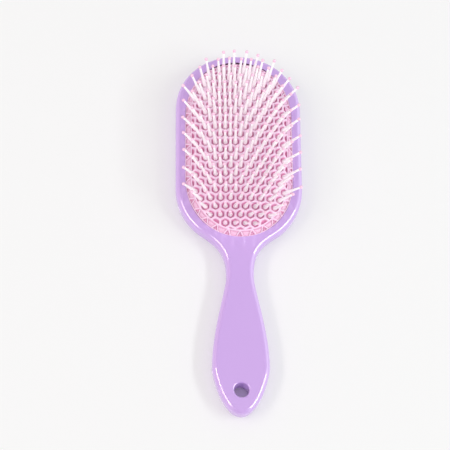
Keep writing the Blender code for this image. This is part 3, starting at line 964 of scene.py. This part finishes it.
def pink_rubber():
    """Satin rubber, smoother on the ribs' tops and duller in the cells, with painted shade in the
    cells and slot.
    """
    finish = Finish("pink_rubber", IOR=1.45)
    depth = finish.attribute("depth")
    clouds = finish.noise(scale=60, detail=3)
    grain = finish.noise(scale=2200)
    ribs = finish.mix(RIB_PINK, PALE_RIB_PINK, clouds)
    # Painted shade: the pink darkens into the cells by depth, then towards the slot's dark pink
    # past depth 1
    cells = finish.mix(ribs, CELL_SHADE_PINK, depth)
    return finish.give(
        Base_Color=finish.mix(cells, SLOT_SHADOW_PINK, depth - 1),
        Roughness=0.40 + 0.12 * depth + 0.08 * clouds,
        Normal=finish.bump(grain, distance=0.00005, strength=0.25),
    )


def white_nylon():
    """Smooth nylon shafts, with a painted pink of light bounced off the rubber towards the foot."""
    finish = Finish("white_nylon", IOR=1.53, Subsurface_Weight=0.3, Subsurface_Scale=0.002)
    finish.give(Subsurface_Radius=(1, 0.9, 0.95))
    # Painted reflected light: pink from the rubber, strongest at the foot
    foot = (1 - finish.attribute("along")) ** 4
    streaks = finish.noise(scale=700)
    return finish.give(
        Base_Color=finish.mix(SHAFT_WHITE, FOOT_BOUNCE_PINK, foot),
        Roughness=0.26 + 0.10 * streaks,
    )


def pink_nylon():
    """Ball tips, a little deeper in colour round the neck than at the pole."""
    finish = Finish("pink_nylon", IOR=1.50)
    return finish.give(
        Base_Color=finish.mix(BALL_NECK_PINK, BALL_PINK, finish.attribute("along")),
        Roughness=0.25 + 0.08 * finish.noise(scale=900),
    )


# Setting


def make_floor():
    """A pale floor that keeps the object's shadow, lifted, and fades to the backdrop's grey far
    out.

    The camera sees some of that grey close in too, a painted glow that lifts the object's shadow by
    a third, but none of it under the hanging hole.
    """
    side = FLOOR_HALF_SIDE
    corners = ((-side, -side), (side, -side), (side, side), (-side, side))
    mesh = bpy.data.meshes.new("floor")
    mesh.from_pydata([(x, y, -FLOOR_CLEAR) for x, y in corners], [], [(0, 1, 2, 3)])
    floor = linked("floor", mesh)
    finish = Finish("pale_floor", Base_Color=FLOOR_WHITE, Roughness=0.8, IOR=1.2)
    place = Value(finish, finish.node("ShaderNodeTexCoord").outputs["Object"])
    hole = (0, PAD_CENTRE_Y - HOLE_REACH, 0)
    near = finish.distance(place, hole, HOLE_LIFT_START, HOLE_LIFT_END)
    far = finish.distance(place, (0, 0, 0), FLOOR_FADE_START, FLOOR_FADE_END)
    # Painted light: near the brush a third of the backdrop's glow lifts the floor's shadows, except
    # under the hole
    fade = near * (SHADOW_LIFT + (1 - SHADOW_LIFT) * far)
    seen = finish.ray("Is Camera Ray", "Is Glossy Ray", "Is Transmission Ray")
    glow = finish.node("ShaderNodeEmission", values={"Color": BACKDROP})
    mixed = finish.layers(finish.shader, glow, fade * seen)
    finish.tree.links.new(mixed.outputs[0], finish.tree.nodes["Material Output"].inputs["Surface"])
    mesh.materials.append(finish.material)


def aim(place, side):
    """A matrix that stands at a place and faces the origin.

    Its X points as nearly along the side's way as that allows.
    """
    back = place.normalized()
    up = back.cross(Vector(side)).normalized()
    return Matrix.Translation(place) @ Matrix((up.cross(back), up, back)).transposed().to_4x4()


def make_lamp(name, way, side, size, radiance, distance=LAMP_DISTANCE, colour=WHITE_LIGHT):
    """A soft light. Its power is its brightness times its area times pi."""
    width, height = size
    lamp = bpy.data.lights.new(name, "AREA")
    lamp.shape = "RECTANGLE"
    lamp.size = width
    lamp.size_y = height
    lamp.energy = radiance * width * height * math.pi
    lamp.color = colour
    obj = linked(name, lamp)
    obj.matrix_world = aim(Vector(way).normalized() * distance, side)
    return obj


def light_only(lamp, pieces):
    """Keeps a lamp's light to these pieces, through Blender's light linking."""
    lit = bpy.data.collections.new("lit_by_" + lamp.name)
    for piece in pieces:
        lit.objects.link(piece)
    lamp.light_linking.receiver_collection = lit


def make_world():
    """Even fill. The camera sees the pale backdrop instead.

    Reflections see a dimmer ceiling, which brightens to the left and to the right.
    """
    world = bpy.data.worlds.new("studio")
    world.use_nodes = True
    graph = Graph(world.node_tree)
    backdrop = graph.node("ShaderNodeBackground", values={"Color": BACKDROP})
    way = Value(graph, graph.node("ShaderNodeTexCoord").outputs["Generated"])
    across = Value(graph, graph.node("ShaderNodeSeparateXYZ", values={0: way}).outputs["X"])
    fill = graph.node("ShaderNodeBackground", values={"Color": FILL_WHITE, "Strength": FILL})
    tint = graph.mix(LEFT_TINT, RIGHT_TINT, 0.5 + 0.5 * across)
    strength = CEILING_GLOW
    for side, glow in ((-1, LEFT_GLOW), (1, RIGHT_GLOW)):
        limits = {"From Min": GLOW_STARTS, "From Max": GLOW_FULL, "To Max": glow - CEILING_GLOW}
        limits["Value"] = side * across
        climb = graph.node("ShaderNodeMapRange", {"interpolation_type": "SMOOTHSTEP"}, limits)
        strength = strength + Value(graph, climb.outputs["Result"])
    panels = graph.node("ShaderNodeBackground", values={"Color": tint, "Strength": strength})
    shader = graph.layers(fill, panels, graph.ray("Is Glossy Ray"))
    shader = graph.layers(shader, backdrop, graph.ray("Is Camera Ray", "Is Transmission Ray"))
    graph.tree.links.new(shader.outputs[0], graph.tree.nodes["World Output"].inputs["Surface"])
    bpy.context.scene.world = world


def make_camera():
    """The photo's camera: tilted off straight down, turned and then rolled about its view."""
    camera = bpy.data.cameras.new("camera")
    camera.sensor_width = SENSOR_WIDTH
    camera.lens = FOCAL_PIXELS / PHOTO_SIDE * SENSOR_WIDTH
    tilt, turn, roll = CAMERA_TILT, CAMERA_TURN, CAMERA_ROLL
    ahead = math.sin(turn) * math.sin(tilt), math.cos(turn) * math.sin(tilt)
    way = Vector((*ahead, -math.cos(tilt)))
    level = Vector((math.cos(turn), -math.sin(turn), 0))
    upright = level.cross(way)
    right = math.cos(roll) * level + math.sin(roll) * upright
    up = math.cos(roll) * upright - math.sin(roll) * level
    obj = linked("camera", camera)
    axes = Matrix((right, up, -way)).transposed().to_4x4()
    obj.matrix_world = Matrix.Translation(CAMERA_PLACE) @ axes
    bpy.context.scene.camera = obj


def dress():
    """Makes the pieces and gives each its finish; the shells, pins and balls are tied to their
    bodies.
    """
    plastic = lavender_plastic()
    shells = []
    for piece, node in ((make_front_shell(), "front_shell"), (make_back_shell(), "back_shell")):
        piece.data.materials.append(plastic)
        piece.data.set_sharp_from_angle(angle=SHARP_ANGLE)
        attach(piece, "frame")
        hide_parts(node)
        shells.append(piece)

    pad = make_pad()
    pad.data.materials.append(pink_rubber())
    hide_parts("rubber_pad")
    rim = pad_height(PAD_WIDTH / 2, 0) + RIB_RISE - EDGE_SINK
    lowest = pin_places()[0][:, 2].min()
    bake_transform(pad)

    pins = make_pins()
    pins.data.materials.append(white_nylon())
    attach(pins, "pins")
    rows = [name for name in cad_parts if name.startswith("pin_row_")]
    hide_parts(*rows)

    balls = make_balls()
    balls.data.materials.append(pink_nylon())
    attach(balls, "pins")
    return shells, (pad, pins, balls)


def make_lamps(shells, soft_pieces):
    """Softboxes to the left and right, a wide gleam in front of each, and a fill.

    Only the shells mirror the gleams. Only the pad and the pins get the fill, which casts no
    shadow.
    """
    along, across = ALONG_BRUSH, ACROSS_BRUSH
    make_lamp("left_softbox", LEFT, along, size=(1.5, 0.38), radiance=6.8, colour=LEFT_LIGHT)
    make_lamp("right_softbox", RIGHT, along, size=(1.4, 0.26), radiance=12.4, colour=RIGHT_LIGHT)
    for name, way in (("left_gleam", LEFT), ("right_gleam", RIGHT)):
        gleam = make_lamp(name, way, along, (1.35, 0.85), radiance=2.1, distance=GLEAM_DISTANCE)
        gleam.visible_diffuse = False
        light_only(gleam, shells)
    fill = make_lamp("front_fill", FRONT, across, size=(1.0, 1.0), radiance=5.3)
    fill.data.use_shadow = False
    fill.visible_glossy = False
    light_only(fill, soft_pieces)


def main():
    """The whole scene: the camera, the dressed brush, the floor and the light."""
    scene = bpy.context.scene
    scene.view_settings.view_transform = "Standard"
    make_camera()
    shells, soft_pieces = dress()
    make_floor()
    make_world()
    make_lamps(shells, soft_pieces)


main()
